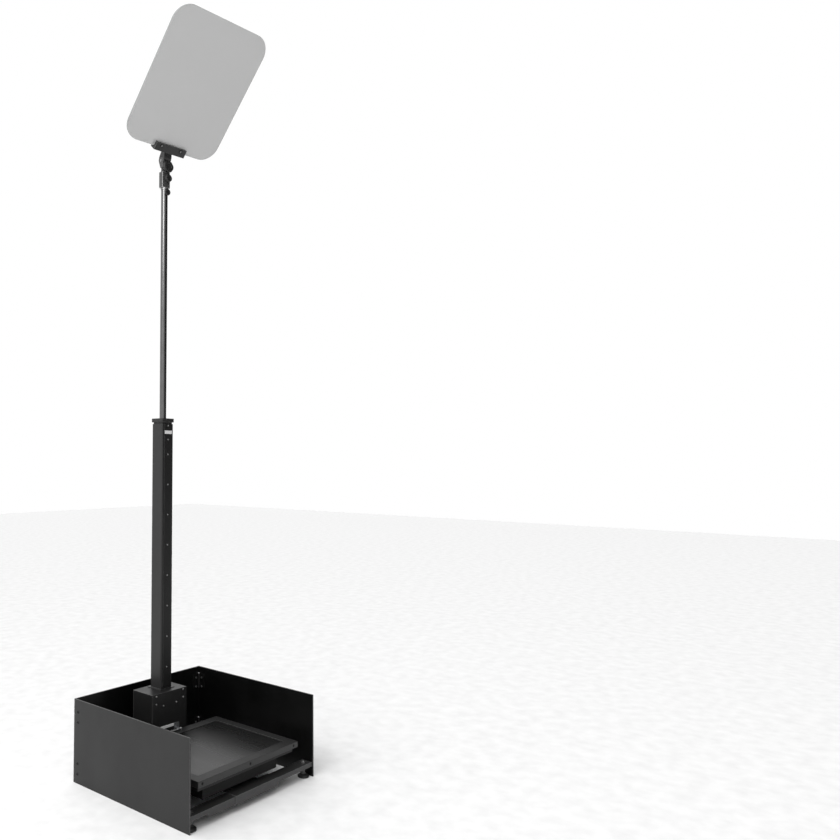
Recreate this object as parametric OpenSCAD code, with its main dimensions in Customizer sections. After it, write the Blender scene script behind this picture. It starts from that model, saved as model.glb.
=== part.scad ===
// Conference teleprompter stand: a flat monitor lies face up inside a three-panel shroud, and a
// beam-splitter glass leans over it on a motor-driven telescopic mast.
// Frame: origin on the floor at the middle of the footprint, +Z up, +X across the width,
// +Y towards the closed back of the shroud; the open side, where the speaker stands, is -Y.

/* [Shroud] */
// Width over the two side panels
shroud_w = 444.5; // [430:0.5:560]
// Depth from the front edges to the outside of the back panel
shroud_d = 410; // [400:1:520]
// Height of the panels' top edges
shroud_top = 204.5; // [150:0.5:260]
// Thickness of each panel
panel_t = 3; // [2:0.5:5]
// Height of each corner hinge
hinge_h = 40; // [34:1:50]

/* [Base] */
// Depth of the front rail
front_rail_d = 30.5; // [28:0.5:50]
// Depth of the rear rail
rear_rail_d = 28; // [26:1:40]
// Height of the rails' top face
rail_top = 36; // [32:1:60]
// Depth of the rail flanges in the middle of each rail
rail_flange = 18; // [12:1:26]
// Sheet thickness of the rails and the spine
rail_t = 2.5; // [1.5:0.5:4]
// Length of the sleeve that joins the halves of the front rail
joiner_l = 152; // [80:1:240]
// Width of the spine between the rails
spine_w = 90; // [60:1:110]
// Diameter of the levelling feet
foot_dia = 29; // [20:1:34]
// Diameter of the feet's threaded studs
stud_dia = 8; // [6:1:10]

/* [Monitor] */
// Width of the bezel
bezel_w = 356; // [330:1:380]
// Depth of the bezel
bezel_d = 281; // [260:1:281]
// Height of the bezel's top face
bezel_top = 98; // [90:1:130]
// Width of the visible screen
screen_w = 304; // [280:1:310]
// Depth of the visible screen
screen_d = 228; // [200:1:236]

/* [Lift] */
// Width of the drive housing
housing_w = 121; // [110:1:150]
// Depth of the drive housing
housing_d = 77; // [74:1:82]
// Height of the drive housing's top
housing_top = 200; // [180:1:260]
// Side of the square column
column_s = 40; // [34:0.1:44]
// Height of the column's top
column_top = 898; // [700:1:1100]
// Wall of the column
column_wall = 2.6; // [2:0.1:3.5]
// Diameter of the mast rod
rod_dia = 18; // [16:0.5:20]
// Height of the mast rod's top
rod_top = 1539.5; // [1300:0.5:1700]
// Travel of the lift
lift_travel = 600; // [300:10:600]
// Diameter of the lead screw
screw_dia = 10; // [8:0.5:10]

/* [Head and glass] */
// Turn of the whole head about the mast at rest, degrees
head_yaw = -5.8; // [-30:0.1:30]
// Width of the receiver block
block_w = 25.5; // [22:0.5:32]
// Depth of the receiver block
block_d = 16; // [15:0.5:22]
// Height of the receiver block
block_h = 43.5; // [38:0.5:60]
// Lean of the glass from the level, degrees
glass_lean = 45.8; // [35:0.1:60]
// Width of the glass
glass_w = 304.8; // [200:0.1:400]
// Length of the glass up its slope
glass_l = 355.6; // [200:0.1:460]
// Thickness of the glass
glass_t = 4; // [3:0.5:5]
// Length of the glass clamp
clamp_l = 102; // [70:1:140]

/* [Hidden] */
$fn = 64;
fit = 0.05;
gap = 0.3;
bolt_head_h = 1.5;
bolt_r = 2;

// Shroud, centred on the footprint with the bolt heads that stand out at the back
side_out = shroud_w / 2;
side_in = side_out - panel_t;
back_out = shroud_d / 2 - bolt_head_h / 2;
back_in = back_out - panel_t;
front_edge = back_out - shroud_d;
knuckle_r = 3;
knuckle_off = knuckle_r + 0.2;
pin_r = 1.25;
leaf_t = 1.5;
leaf_w = 17;
hinge_x = side_in - knuckle_off;
hinge_y = back_in - knuckle_off;
hinge_zs = [40, shroud_top - 39];
bolt_pitch = 25.4;
bolt_drop = 4;
bolt_in = 15.6;

// Base
rail_half = side_in - 0.5;
rear_rail_half = hinge_x - knuckle_r - 2;
rail_end_l = 58;
front_right_end_l = 138;
joiner_x = 4.5;
rail_end_flange = 11;
front_rail_y = front_edge + 2.75 + front_rail_d / 2;
rear_rail_y = back_in - 5 - rear_rail_d / 2;
foot_r = foot_dia / 2;
foot_x = side_in - 2 - foot_r;
foot_ys = [front_rail_y, rear_rail_y];
foot_pad_h = 10;
stud_r = stud_dia / 2;
foot_nut_h = 3.5;
stud_top = rail_top + foot_nut_h + 1;
spine_flange = rail_flange - 4;
sleeve_t = 1.5;

// Lift, set on the rear end of the spine
mast_x = 10;
housing_front = rear_rail_y - rear_rail_d / 2 - 0.5 - housing_d;
housing_back = housing_front + housing_d;
mast_y = housing_front + 46;
floor_t = 4;
shell_t = 2;
front_t = 3;
housing_floor_z = rail_top;
housing_z = housing_floor_z + floor_t;
flange_t = 1.5;
flange_s = column_s + 12;
column_r = 3;
column_z = housing_top + flange_t;
cap_neck = 4.5;
cap_h = 10;
cap_s = column_s + 4;
cap_top = column_top + cap_neck + cap_h;
rod_r = rod_dia / 2;
rod_bore = screw_dia / 2 + 1.5;
nut_h = 30;
bush_l = cap_top - column_top + 30;
nut_top = cap_top - bush_l - 2;
screw_r = screw_dia / 2;
screw_z = housing_z + 1;
screw_end = nut_top + 24;
strip_w = 27;
strip_t = 1.8;
strip_z = column_z + 3;
strip_pitch = 80;
strip_screws = concat(
    [column_top - 5, column_top - 42],
    [for (k = [0 : 7]) column_top - 82 - k * strip_pitch]
);
bearing_r = 11;
pulley_z = housing_z + 33;
pulley_h = 14;
screw_pulley_r = 15;
motor_pulley_r = 7.5;
motor_x = mast_x - 40;
motor_y = mast_y - 7;
motor_r = 17;
motor_h = 62;
gear_plate_z = pulley_z + pulley_h + 3;
gear_plate_t = 4;

// Monitor, hinged at its rear edge on a bracket of the drive housing
monitor_x = -6.5;
bezel_h = 14.5;
bezel_rear = housing_front - 4;
bezel_y = bezel_rear - bezel_d / 2;
bezel_t = 3;
tray_inset = 5;
tray_x = [monitor_x - bezel_w / 2 + 3, monitor_x + bezel_w / 2 - 15.5];
tray_h = 8.5;
tray_z = bezel_top - bezel_h - tray_h;
ebox_h = 22;
ebox_z = tray_z - ebox_h;
ebox_x = [tray_x[0] + 16.5, tray_x[1] - 63];
ebox_y = [bezel_y - bezel_d / 2 + 6, bezel_y + 60];
hinge_pin_r = 1.8;
hinge_pin_y = bezel_rear - 9;
hinge_pin_z = bezel_top + hinge_pin_r + 1.8;
bar_x = [-7, 29];
lug_t = 3;
bracket_x = [14, 32];

// Head: heights up the mast, and depths from the mast's axis towards the speaker
collar_h = 4.8;
block_z = rod_top + collar_h;
block_top = block_z + block_h;
spigot_r = 6;
washer_h = 4;
washer_r = 10;
roll_z = block_top + 12;
knuckle_disc = 8;
knuckle_y = [-1, 5];
cheek_y = [-7.5, -1.3];
cheek_r = 7.7;
elbow_y = -0.5;
elbow_z = roll_z + 18.6;
ear_r = 10;
ear_t = 5.3;
skirt_t = 3.2;
tongue_w = block_w - 2 * ear_t - 0.8;
elbow_pin_r = 3;
lower_edge_y = -13;
lower_edge_z = elbow_z + 30.4;
glass_r = 48;
clamp_t = 20.5;
clamp_drop = 7.6;
clamp_rise = 14.4;
clamp_shift = 3;
jaw_gap = glass_t / 2 + 3;
slot_floor = 1.5;
clamp_screw_x = 32;
clamp_screw_y = 8;
rod_knob_z = rod_top - 9.5;
swivel_knob_z = block_z + 23;

// ---- Helpers ----

// Box between two corners
module block(low, high) translate(low) cube(high - low);

// Cylinder along Y from y0 to y1, at x and z
module rod_y(r, x, z, y0, y1) translate([x, y0, z]) rotate([-90, 0, 0]) cylinder(r = r, h = y1 - y0);

// Cylinder along X from x0 to x1, at y and z
module rod_x(r, y, z, x0, x1) translate([x0, y, z]) rotate([0, 90, 0]) cylinder(r = r, h = x1 - x0);

// Upright cylinder from z0 to z1
module rod_z(r, x, y, z0, z1) translate([x, y, z0]) cylinder(r = r, h = z1 - z0);

// Rectangle with round corners, centred
module rounded(w, d, r) {
    square([w - 2 * r, d], center = true);
    square([w, d - 2 * r], center = true);
    for (sx = [-1, 1], sy = [-1, 1]) translate([sx * (w / 2 - r), sy * (d / 2 - r)]) circle(r);
}

// Upright post with round corners, at the mast's axis
module post(w, r, z0, z1) translate([mast_x, mast_y, z0]) linear_extrude(z1 - z0) rounded(w, w, r);

// Places the head's own frame, with its origin on the mast's axis, in the part's frame
module in_head() translate([mast_x, mast_y, 0]) rotate([0, 0, head_yaw]) children();

// Frame of the glass: X along its lower edge, Y up its slope, Z out of its underside
module in_glass() in_head()
    translate([0, lower_edge_y, lower_edge_z]) rotate([180 - glass_lean, 0, 0]) children();

// Round knob along -Y: stud, neck and a head with a bevelled rim, from the face at y
module knob(r, head_h, neck_r, neck_h, stud_r, stud_l, y, z) {
    bevel = head_h / 5;
    rotate([90, 0, 0]) translate([0, z, -y]) rotate_extrude() polygon([
        [0, -stud_l], [stud_r, -stud_l], [stud_r, 0], [neck_r, 0], [neck_r, neck_h],
        [r - bevel, neck_h], [r, neck_h + bevel], [r, neck_h + head_h - bevel],
        [r - 2 * bevel, neck_h + head_h], [0, neck_h + head_h]
    ]);
}

// ---- Shroud ----

function hinge_holes(z) = [for (s = [-1, 1]) z - bolt_drop + s * bolt_pitch / 2];
hinge_bolt_zs = [for (z = hinge_zs, hole = hinge_holes(z)) hole];

// Mirrors its children to the left or right side; they are drawn on the left
module on_side(side) mirror([side > 0 ? 1 : 0, 0, 0]) children();

module side_panel(side) color([0.2, 0.2, 0.21]) on_side(side) difference() {
    block([-side_out, front_edge, 0], [-side_in, back_in - gap, shroud_top]);
    for (z = hinge_bolt_zs) rod_x(bolt_r + fit, back_out - bolt_in, z, -side_out - 1, -side_in + 1);
}

module back_panel() color([0.12, 0.12, 0.13]) difference() {
    block([-side_out, back_in, 0], [side_out, back_out, shroud_top]);
    for (z = hinge_bolt_zs, s = [-1, 1])
        rod_y(bolt_r + fit, s * (side_out - bolt_in), z, back_in - 1, back_out + 1);
}

// Barrel lengths: the side leaf has the middle third, the back leaf the outer ones
barrel = hinge_h / 3;

// Leaf along the side panel, with the middle barrel round the pin
module side_leaves(side) color([0.25, 0.25, 0.26]) on_side(side) for (z = hinge_zs) difference() {
    union() {
        block([-side_in, hinge_y - knuckle_r - gap - leaf_w, z - hinge_h / 2],
              [-side_in + leaf_t, hinge_y - knuckle_r - gap, z + hinge_h / 2]);
        block([-side_in, hinge_y - knuckle_r - gap, z - barrel / 2 + gap],
              [-side_in + leaf_t, hinge_y, z + barrel / 2 - gap]);
        rod_z(knuckle_r, -hinge_x, hinge_y, z - barrel / 2 + gap, z + barrel / 2 - gap);
    }
    rod_z(pin_r + fit, -hinge_x, hinge_y, z - hinge_h, z + hinge_h);
    for (hole = hinge_holes(z)) rod_x(bolt_r + fit, back_out - bolt_in, hole, -side_out, -side_in + 5);
}

// Leaves along the back panel, with the outer barrels and the pins fixed in them
module back_hinge_leaves() color([0.25, 0.25, 0.26])
    for (side = [-1, 1]) on_side(side) for (z = hinge_zs) difference() {
        union() {
            block([-hinge_x + knuckle_r + gap, back_in - leaf_t, z - hinge_h / 2],
                  [-hinge_x + knuckle_r + gap + leaf_w, back_in, z + hinge_h / 2]);
            for (s = [-1, 1]) {
                zm = z + s * barrel;
                block([-hinge_x, back_in - leaf_t, zm - barrel / 2],
                      [-hinge_x + knuckle_r + gap, back_in, zm + barrel / 2]);
                rod_z(knuckle_r, -hinge_x, hinge_y, zm - barrel / 2, zm + barrel / 2);
            }
            rod_z(pin_r, -hinge_x, hinge_y, z - hinge_h / 2, z + hinge_h / 2);
        }
        for (hole = hinge_holes(z)) rod_y(bolt_r + fit, -(side_out - bolt_in), hole, back_in - 5, back_out);
    }

// Bolt through a panel and a leaf: domed head outside, low nut inside; grip runs inward from 0
module panel_bolt(grip) rotate([-90, 0, 0]) rotate_extrude() polygon([
    [0, -bolt_head_h], [2.2, -bolt_head_h], [3.6, -0.6], [4, 0], [bolt_r, 0],
    [bolt_r, grip], [3.2, grip], [2.8, grip + 1.6], [0, grip + 1.6]
]);

module side_bolts(side) color("silver") on_side(side) for (z = hinge_bolt_zs)
    translate([-side_out, back_out - bolt_in, z]) rotate([0, 0, -90]) panel_bolt(panel_t + leaf_t);

module back_panel_bolts() color("silver") for (z = hinge_bolt_zs, s = [-1, 1])
    translate([s * (side_out - bolt_in), back_out, z]) rotate([0, 0, 180]) panel_bolt(panel_t + leaf_t);

// ---- Base ----

// Rail section, open downwards, with shorter flanges over the last ends[0] and ends[1] of the
// whole rail, whose half length is half
module rail(x0, x1, half, ends, y, depth) {
    low = rail_top - rail_flange;
    d = depth / 2;
    difference() {
        block([x0, y - d, low], [x1, y + d, rail_top]);
        block([x0 - 1, y - d + rail_t, low - 1], [x1 + 1, y + d - rail_t, rail_top - rail_t]);
        block([-half - 1, y - d - 1, low - 1], [-half + ends[0], y + d + 1, rail_top - rail_end_flange]);
        block([half - ends[1], y - d - 1, low - 1], [half + 1, y + d + 1, rail_top - rail_end_flange]);
        for (s = [-1, 1]) rod_z(stud_r + fit, s * foot_x, y, low, rail_top + 1);
    }
}

front_ends = [rail_end_l, front_right_end_l];

module front_rail_left() color([0.3, 0.3, 0.31])
    rail(-rail_half, joiner_x - fit, rail_half, front_ends, front_rail_y, front_rail_d);
module front_rail_right() color([0.3, 0.3, 0.31])
    rail(joiner_x + fit, rail_half, rail_half, front_ends, front_rail_y, front_rail_d);
module rear_rail() color([0.3, 0.3, 0.31])
    rail(-rear_rail_half, rear_rail_half, rear_rail_half, [rail_end_l, rail_end_l], rear_rail_y, rear_rail_d);

// Sleeve that wraps the front, top and back of the two halves
module rail_joiner() color([0.32, 0.32, 0.33]) difference() {
    block([joiner_x - joiner_l / 2, front_rail_y - front_rail_d / 2 - sleeve_t, rail_top - rail_flange - 1],
          [joiner_x + joiner_l / 2, front_rail_y + front_rail_d / 2 + sleeve_t, rail_top + sleeve_t]);
    block([-joiner_l, front_rail_y - front_rail_d / 2, 0],
          [joiner_l, front_rail_y + front_rail_d / 2, rail_top]);
}

// Downward channel from the front sleeve to the rear rail
module base_spine() color([0.16, 0.16, 0.17]) {
    y0 = front_rail_y + front_rail_d / 2 + sleeve_t;
    y1 = rear_rail_y - rear_rail_d / 2;
    difference() {
        block([-spine_w / 2, y0, rail_top - spine_flange], [spine_w / 2, y1, rail_top]);
        block([-spine_w / 2 + rail_t, y0 - 1, 0], [spine_w / 2 - rail_t, y1 + 1, rail_top - rail_t]);
    }
}

// Hexagonal lock nuts on the rails
module foot_nuts() color("silver") for (sx = [-1, 1], y = foot_ys) difference() {
    translate([sx * foot_x, y, rail_top]) cylinder(r = stud_r + 3.2, h = foot_nut_h, $fn = 6);
    rod_z(stud_r + fit, sx * foot_x, y, rail_top - 1, rail_top + foot_nut_h + 1);
}

// Levelling foot: a swivel pad on a threaded stud
module foot(sx, y) color([0.1, 0.1, 0.1]) translate([sx * foot_x, y, 0]) rotate_extrude() polygon([
    [0, 0], [foot_r - 1, 0], [foot_r, 1], [foot_r, 4], [foot_r - 2.5, 6.5],
    [stud_r + 3, foot_pad_h - 1], [stud_r + 2.5, foot_pad_h], [stud_r, foot_pad_h],
    [stud_r, stud_top - 1], [stud_r - 1, stud_top], [0, stud_top]
]);

// Posts with soft tops that the front of the monitor rests on
module monitor_posts() color([0.1, 0.1, 0.1]) for (s = [-1, 1])
    translate([s * (spine_w / 2 - 14), ebox_y[0] + 40, 0]) rotate_extrude() polygon([
        [0, rail_top], [9, rail_top], [9, rail_top + 2], [6, rail_top + 4],
        [6, ebox_z - 3], [7, ebox_z - gap], [0, ebox_z - gap]
    ]);

// ---- Drive housing ----

hx = housing_w / 2;
housing_screw_xz = concat(
    [for (s = [-1, 1], dz = [5, 25]) [s * (hx - 12.5), housing_top - dz]],
    [for (s = [-1, 1]) [s * 23, housing_top - 33]]
);

module housing_floor() color([0.25, 0.25, 0.26])
    block([-hx, housing_front, housing_floor_z], [hx, housing_back, housing_z]);

shell_flange = 16;
tab_w = 56;

// Folded shell: top, two sides, a flange down each front edge and a tab under the top;
// the flanges and the tab take the front plate's screws
module housing_shell() color([0.28, 0.28, 0.29]) {
    y0 = housing_front + front_t;
    y1 = housing_back - shell_t;
    difference() {
        union() {
            difference() {
                block([-hx, y0, housing_z], [hx, y1, housing_top]);
                block([-hx + shell_t, y0 - 1, housing_z - 1], [hx - shell_t, y1 + 1, housing_top - shell_t]);
            }
            for (s = [-1, 1]) on_side(s)
                block([-hx + 1, y0, housing_z], [-hx + shell_flange, y0 + shell_t, housing_top - 1]);
            block([-tab_w / 2, y0, housing_top - 38], [tab_w / 2, y0 + shell_t, housing_top - 1]);
        }
        rod_z(screw_r + 6, mast_x, mast_y, housing_top - 10, housing_top + 1);
        for (p = housing_screw_xz) rod_y(1.5 + fit, p[0], p[1], y0 - 1, y0 + 5);
    }
}

module housing_front_plate() color([0.14, 0.14, 0.15]) difference() {
    block([-hx, housing_front, housing_z], [hx, housing_front + front_t, housing_top]);
    for (p = housing_screw_xz) rod_y(1.5 + fit, p[0], p[1], housing_front - 1, housing_front + 5);
}

inlet_x = 28;
inlet_z = housing_z + 22;
inlet_w = 28;
inlet_h = 20;
inlet_d = 17;

module housing_rear_cover() color([0.14, 0.14, 0.15]) difference() {
    block([-hx, housing_back - shell_t, housing_z], [hx, housing_back, housing_top]);
    block([inlet_x - inlet_w / 2, housing_back - 5, inlet_z - inlet_h / 2],
          [inlet_x + inlet_w / 2, housing_back + 1, inlet_z + inlet_h / 2]);
}

module housing_screws() color("silver") for (p = housing_screw_xz)
    translate([p[0], housing_front, p[1]]) rotate([-90, 0, 0]) rotate_extrude() polygon([
        [0, -1.4], [1.6, -1.4], [2.7, -0.4], [2.7, 0], [1.5, 0],
        [1.5, front_t + shell_t], [0, front_t + shell_t]
    ]);

// Mains inlet in the rear cover, with its socket recess; nothing is plugged in
module power_inlet() color([0.05, 0.05, 0.05]) {
    w = inlet_w / 2 - fit;
    h = inlet_h / 2 - fit;
    difference() {
        union() {
            block([inlet_x - w, housing_back - inlet_d, inlet_z - h],
                  [inlet_x + w, housing_back, inlet_z + h]);
            block([inlet_x - w - 3, housing_back, inlet_z - h - 2],
                  [inlet_x + w + 3, housing_back + 2, inlet_z + h + 2]);
        }
        block([inlet_x - w + 2.5, housing_back - inlet_d + 3, inlet_z - h + 2.5],
              [inlet_x + w - 2.5, housing_back + 3, inlet_z + h - 2.5]);
    }
    for (s = [-1, 0, 1]) block([inlet_x + s * 7 - 1, housing_back - inlet_d + 3, inlet_z - 3 + abs(s)],
                               [inlet_x + s * 7 + 1, housing_back - 4, inlet_z + 3 - abs(s)]);
}

shaft_hole_r = 6;
cable_notch = 16.5;

// Plate that carries the motor, with a notch at the right for the cables
module gear_plate() color([0.6, 0.6, 0.62]) difference() {
    block([-hx + shell_t, housing_front + front_t + shell_t + 0.5, gear_plate_z],
          [hx - shell_t, housing_back - shell_t, gear_plate_z + gear_plate_t]);
    rod_z(screw_r + 3, mast_x, mast_y, 0, housing_top);
    rod_z(shaft_hole_r, motor_x, motor_y, 0, housing_top);
    block([hx - cable_notch, 0, gear_plate_z - 1], [hx, mast_y + 20, gear_plate_z + gear_plate_t + 1]);
}

module lift_motor() color([0.5, 0.5, 0.52]) translate([motor_x, motor_y, gear_plate_z + gear_plate_t]) {
    difference() {
        rotate_extrude() polygon([[0, 0], [motor_r - 1, 0], [motor_r, 1], [motor_r, motor_h - 3],
                                  [motor_r - 3, motor_h], [0, motor_h]]);
        cylinder(r = 5, h = 3, center = true);
    }
}

// Motor shaft with its small toothed pulley
module motor_pulley() color("silver") translate([motor_x, motor_y, 0]) {
    cylinder_z(2.5, pulley_z - 2, gear_plate_z + gear_plate_t + 1);
    flanged_pulley(motor_pulley_r);
}

module cylinder_z(r, z0, z1) translate([0, 0, z0]) cylinder(r = r, h = z1 - z0);

module flanged_pulley(r) {
    cylinder_z(r, pulley_z, pulley_z + pulley_h);
    for (z = [pulley_z, pulley_z + pulley_h - 1.2]) cylinder_z(r + 2, z, z + 1.2);
}

// Lead screw with its large pulley clamped on near the bottom
module lead_screw() color([0.7, 0.7, 0.68]) translate([mast_x, mast_y, 0]) {
    cylinder_z(screw_r, screw_z, screw_end);
    flanged_pulley(screw_pulley_r);
}

module screw_bearing() color([0.45, 0.45, 0.47]) difference() {
    union() {
        rod_z(bearing_r + 6, mast_x, mast_y, housing_z, housing_z + 4);
        rod_z(bearing_r, mast_x, mast_y, housing_z, housing_z + 24);
    }
    rod_z(screw_r + fit, mast_x, mast_y, housing_z + 0.5, housing_z + 30);
}

// Outline round two pulleys of radius a and b, whose centres are c apart along X
module belt_line(a, b, c) {
    t = acos((a - b) / c);
    circle(a);
    translate([c, 0]) circle(b);
    up = [cos(t), sin(t)];
    down = [cos(t), -sin(t)];
    polygon([a * up, [c, 0] + b * up, [c, 0] + b * down, a * down]);
}

belt_t = 1.2;
belt_c = norm([mast_x - motor_x, mast_y - motor_y]);

module drive_belt() color([0.08, 0.08, 0.08])
    translate([mast_x, mast_y, pulley_z + 2]) rotate([0, 0, atan2(motor_y - mast_y, motor_x - mast_x)])
        linear_extrude(pulley_h - 4) difference() {
            belt_line(screw_pulley_r + gap / 2 + belt_t, motor_pulley_r + gap / 2 + belt_t, belt_c);
            belt_line(screw_pulley_r + gap / 2, motor_pulley_r + gap / 2, belt_c);
        }

// Motor controller on the right-hand wall
module control_board() color([0.05, 0.3, 0.15]) {
    x = hx - shell_t - 5;
    block([x, housing_front + 12, gear_plate_z + 12], [x + 1.6, housing_back - 12, housing_top - 10]);
    block([x - 9, housing_front + 18, gear_plate_z + 20], [x, housing_front + 34, gear_plate_z + 40]);
    block([x - 6, housing_back - 34, housing_top - 38], [x, housing_back - 18, housing_top - 22]);
}

// ---- Column ----

// Square tube welded to a thin foot flange
module column_tube() color([0.2, 0.2, 0.21]) difference() {
    union() {
        post(column_s, column_r, housing_top, column_top);
        post(flange_s, 2, housing_top, column_z);
    }
    post(column_s - 2 * column_wall, 1, housing_top - 1, column_top + 1);
    for (z = strip_screws)
        rod_y(1.2 + fit, mast_x, z, mast_y - column_s, mast_y - column_s / 2 + column_wall + 0.5);
}

strip_face = mast_y - column_s / 2 - strip_t;

module column_strip() color([0.12, 0.12, 0.13]) difference() {
    block([mast_x - strip_w / 2, strip_face, strip_z],
          [mast_x + strip_w / 2, strip_face + strip_t, column_top - 0.5]);
    for (z = strip_screws) rod_y(1.2 + fit, mast_x, z, strip_face - 1, strip_face + strip_t + 1);
}

strip_screw_l = strip_t + column_wall - 0.2;

module strip_screws() color("silver") for (z = strip_screws)
    translate([mast_x, strip_face, z]) rotate([-90, 0, 0]) rotate_extrude() polygon([
        [0, -1.1], [1.4, -1.1], [2.3, -0.3], [2.3, 0], [1.2, 0], [1.2, strip_screw_l], [0, strip_screw_l]
    ]);

module column_cap() color([0.16, 0.16, 0.17]) difference() {
    union() {
        post(column_s - 4, 2, column_top, column_top + cap_neck);
        post(cap_s, 4, column_top + cap_neck, cap_top);
    }
    rod_z(rod_r + 4.5, mast_x, mast_y, column_top - 1, cap_top + 1);
}

// Plastic bush that guides the rod at the column's mouth
module guide_bush() color([0.85, 0.84, 0.8]) difference() {
    rod_z(rod_r + 4.4, mast_x, mast_y, cap_top - bush_l, cap_top - 0.5);
    rod_z(rod_r + fit, mast_x, mast_y, 0, cap_top);
}

// ---- Rod ----

module mast_rod() color([0.45, 0.45, 0.46]) difference() {
    rod_z(rod_r, mast_x, mast_y, nut_top, rod_top);
    rod_z(rod_bore, mast_x, mast_y, nut_top - 1, rod_top - 42);
    rod_z(spigot_r + fit, mast_x, mast_y, rod_top - 38, rod_top + 1);
    in_head() rod_y(2 + fit, 0, rod_knob_z, -rod_r - 1, 0);
}

// Nut block at the rod's foot, which also keeps the rod upright in the column
module drive_nut() color([0.75, 0.65, 0.4]) difference() {
    post(column_s - 2 * column_wall - 1.6, 2, nut_top - nut_h, nut_top);
    rod_z(screw_r + fit, mast_x, mast_y, 0, nut_top + 1);
}

module rod_spigot() color("silver") {
    difference() {
        union() {
            rod_z(spigot_r, mast_x, mast_y, rod_top - 37, block_top - 8);
            rod_z(rod_r + 1, mast_x, mast_y, rod_top, block_z - 0.1);
        }
        in_head() rod_y(2 + fit, 0, rod_knob_z, -rod_r - 1, -spigot_r + 1.5);
    }
}

module rod_knob() color([0.1, 0.1, 0.1]) in_head()
    knob(9, 6, 5, 2, 2, rod_r - spigot_r + 1, -rod_r, rod_knob_z);

// ---- Monitor ----

module monitor_bracket() color([0.5, 0.5, 0.51]) difference() {
    union() {
        block([bracket_x[0], housing_front - 2, hinge_pin_z - 2],
              [bracket_x[1], housing_front, hinge_pin_z + 14]);
        block([bracket_x[0], hinge_pin_y, hinge_pin_z + 0.6],
              [bracket_x[0] + 8, housing_front - 1, hinge_pin_z + 3.2]);
        rod_x(hinge_pin_r + 1.4, hinge_pin_y, hinge_pin_z, bracket_x[0], bracket_x[0] + 8);
    }
    rod_x(hinge_pin_r + fit, hinge_pin_y, hinge_pin_z, bracket_x[0] - 1, bracket_x[1]);
}

// Hinge bar with a lug at each end, standing on the bezel's rear border
module monitor_hinge_bar() color("silver") {
    rod_x(hinge_pin_r, hinge_pin_y, hinge_pin_z, bar_x[0], bar_x[1]);
    for (x = [bar_x[0], bar_x[1] - lug_t])
        block([x, hinge_pin_y - 2.5, bezel_top],
              [x + lug_t, hinge_pin_y + 2.5, hinge_pin_z + hinge_pin_r + 0.6]);
}

module monitor_bezel() color([0.3, 0.3, 0.31]) translate([monitor_x, bezel_y, 0]) difference() {
    block([-bezel_w / 2, -bezel_d / 2, bezel_top - bezel_h], [bezel_w / 2, bezel_d / 2, bezel_top]);
    block([-bezel_w / 2 + bezel_t, -bezel_d / 2 + bezel_t, bezel_top - bezel_h - 1],
          [bezel_w / 2 - bezel_t, bezel_d / 2 - bezel_t, bezel_top - bezel_t]);
    block([-screen_w / 2, -screen_d / 2, 0], [screen_w / 2, screen_d / 2, bezel_top + 1]);
}

// Display panel: its glass stands in the bezel's window with a narrow gap all round
module screen_panel() color([0.15, 0.15, 0.16]) translate([monitor_x, bezel_y, 0]) {
    block([-screen_w / 2 + 1, -screen_d / 2 + 1, bezel_top - bezel_t - 0.2],
          [screen_w / 2 - 1, screen_d / 2 - 1, bezel_top - 1.5]);
    block([-screen_w / 2 - 6, -screen_d / 2 - 6, bezel_top - bezel_h + 2],
          [screen_w / 2 + 6, screen_d / 2 + 6, bezel_top - bezel_t - 0.2]);
}

// Rear tray of the monitor, open upwards under the panel
module monitor_tray() color([0.13, 0.13, 0.14]) translate([0, bezel_y, 0]) {
    d = bezel_d / 2 - tray_inset;
    difference() {
        block([tray_x[0], -d, tray_z], [tray_x[1], d, bezel_top - bezel_h]);
        block([tray_x[0] + 2, -d + 2, tray_z + 2], [tray_x[1] - 2, d - 2, bezel_top]);
    }
}

module electronics_box() color([0.14, 0.14, 0.15]) difference() {
    block([ebox_x[0], ebox_y[0], ebox_z], [ebox_x[1], ebox_y[1], tray_z]);
    block([ebox_x[0] + 1.5, ebox_y[0] + 1.5, ebox_z + 1.5], [ebox_x[1] - 1.5, ebox_y[1] - 1.5, tray_z + 1]);
}

// ---- Head ----

module receiver_block() color([0.35, 0.35, 0.36]) in_head() difference() {
    block([-block_w / 2, -block_d / 2, block_z], [block_w / 2, block_d / 2, block_top]);
    rod_z(spigot_r + fit, 0, 0, block_z - 1, block_top - 7.5);
    rod_y(3 + fit, 0, swivel_knob_z, -block_d, 0);
}

module swivel_knob() color([0.12, 0.12, 0.12]) in_head()
    knob(10.25, 9, 5, 5, 3, block_d / 2 - spigot_r - gap, -block_d / 2, swivel_knob_z);

module head_washer() color([0.03, 0.03, 0.03]) in_head()
    rod_z(washer_r, 0, 0, block_top, block_top + washer_h);

// Upright disc that the roll bracket is clamped to
module head_knuckle() color([0.3, 0.3, 0.31]) in_head() difference() {
    union() {
        block([-knuckle_disc, knuckle_y[0], block_top + washer_h], [knuckle_disc, knuckle_y[1], roll_z]);
        rod_y(knuckle_disc, 0, roll_z, knuckle_y[0], knuckle_y[1]);
    }
    rod_y(3 + fit, 0, roll_z, knuckle_y[0] - 1, knuckle_y[1] + 1);
}

module roll_knob() color([0.12, 0.12, 0.12]) in_head()
    knob(16, 9, 8, 4.2, 3, knuckle_y[1] - cheek_y[0] + gap, cheek_y[0] - gap, roll_z);

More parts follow.
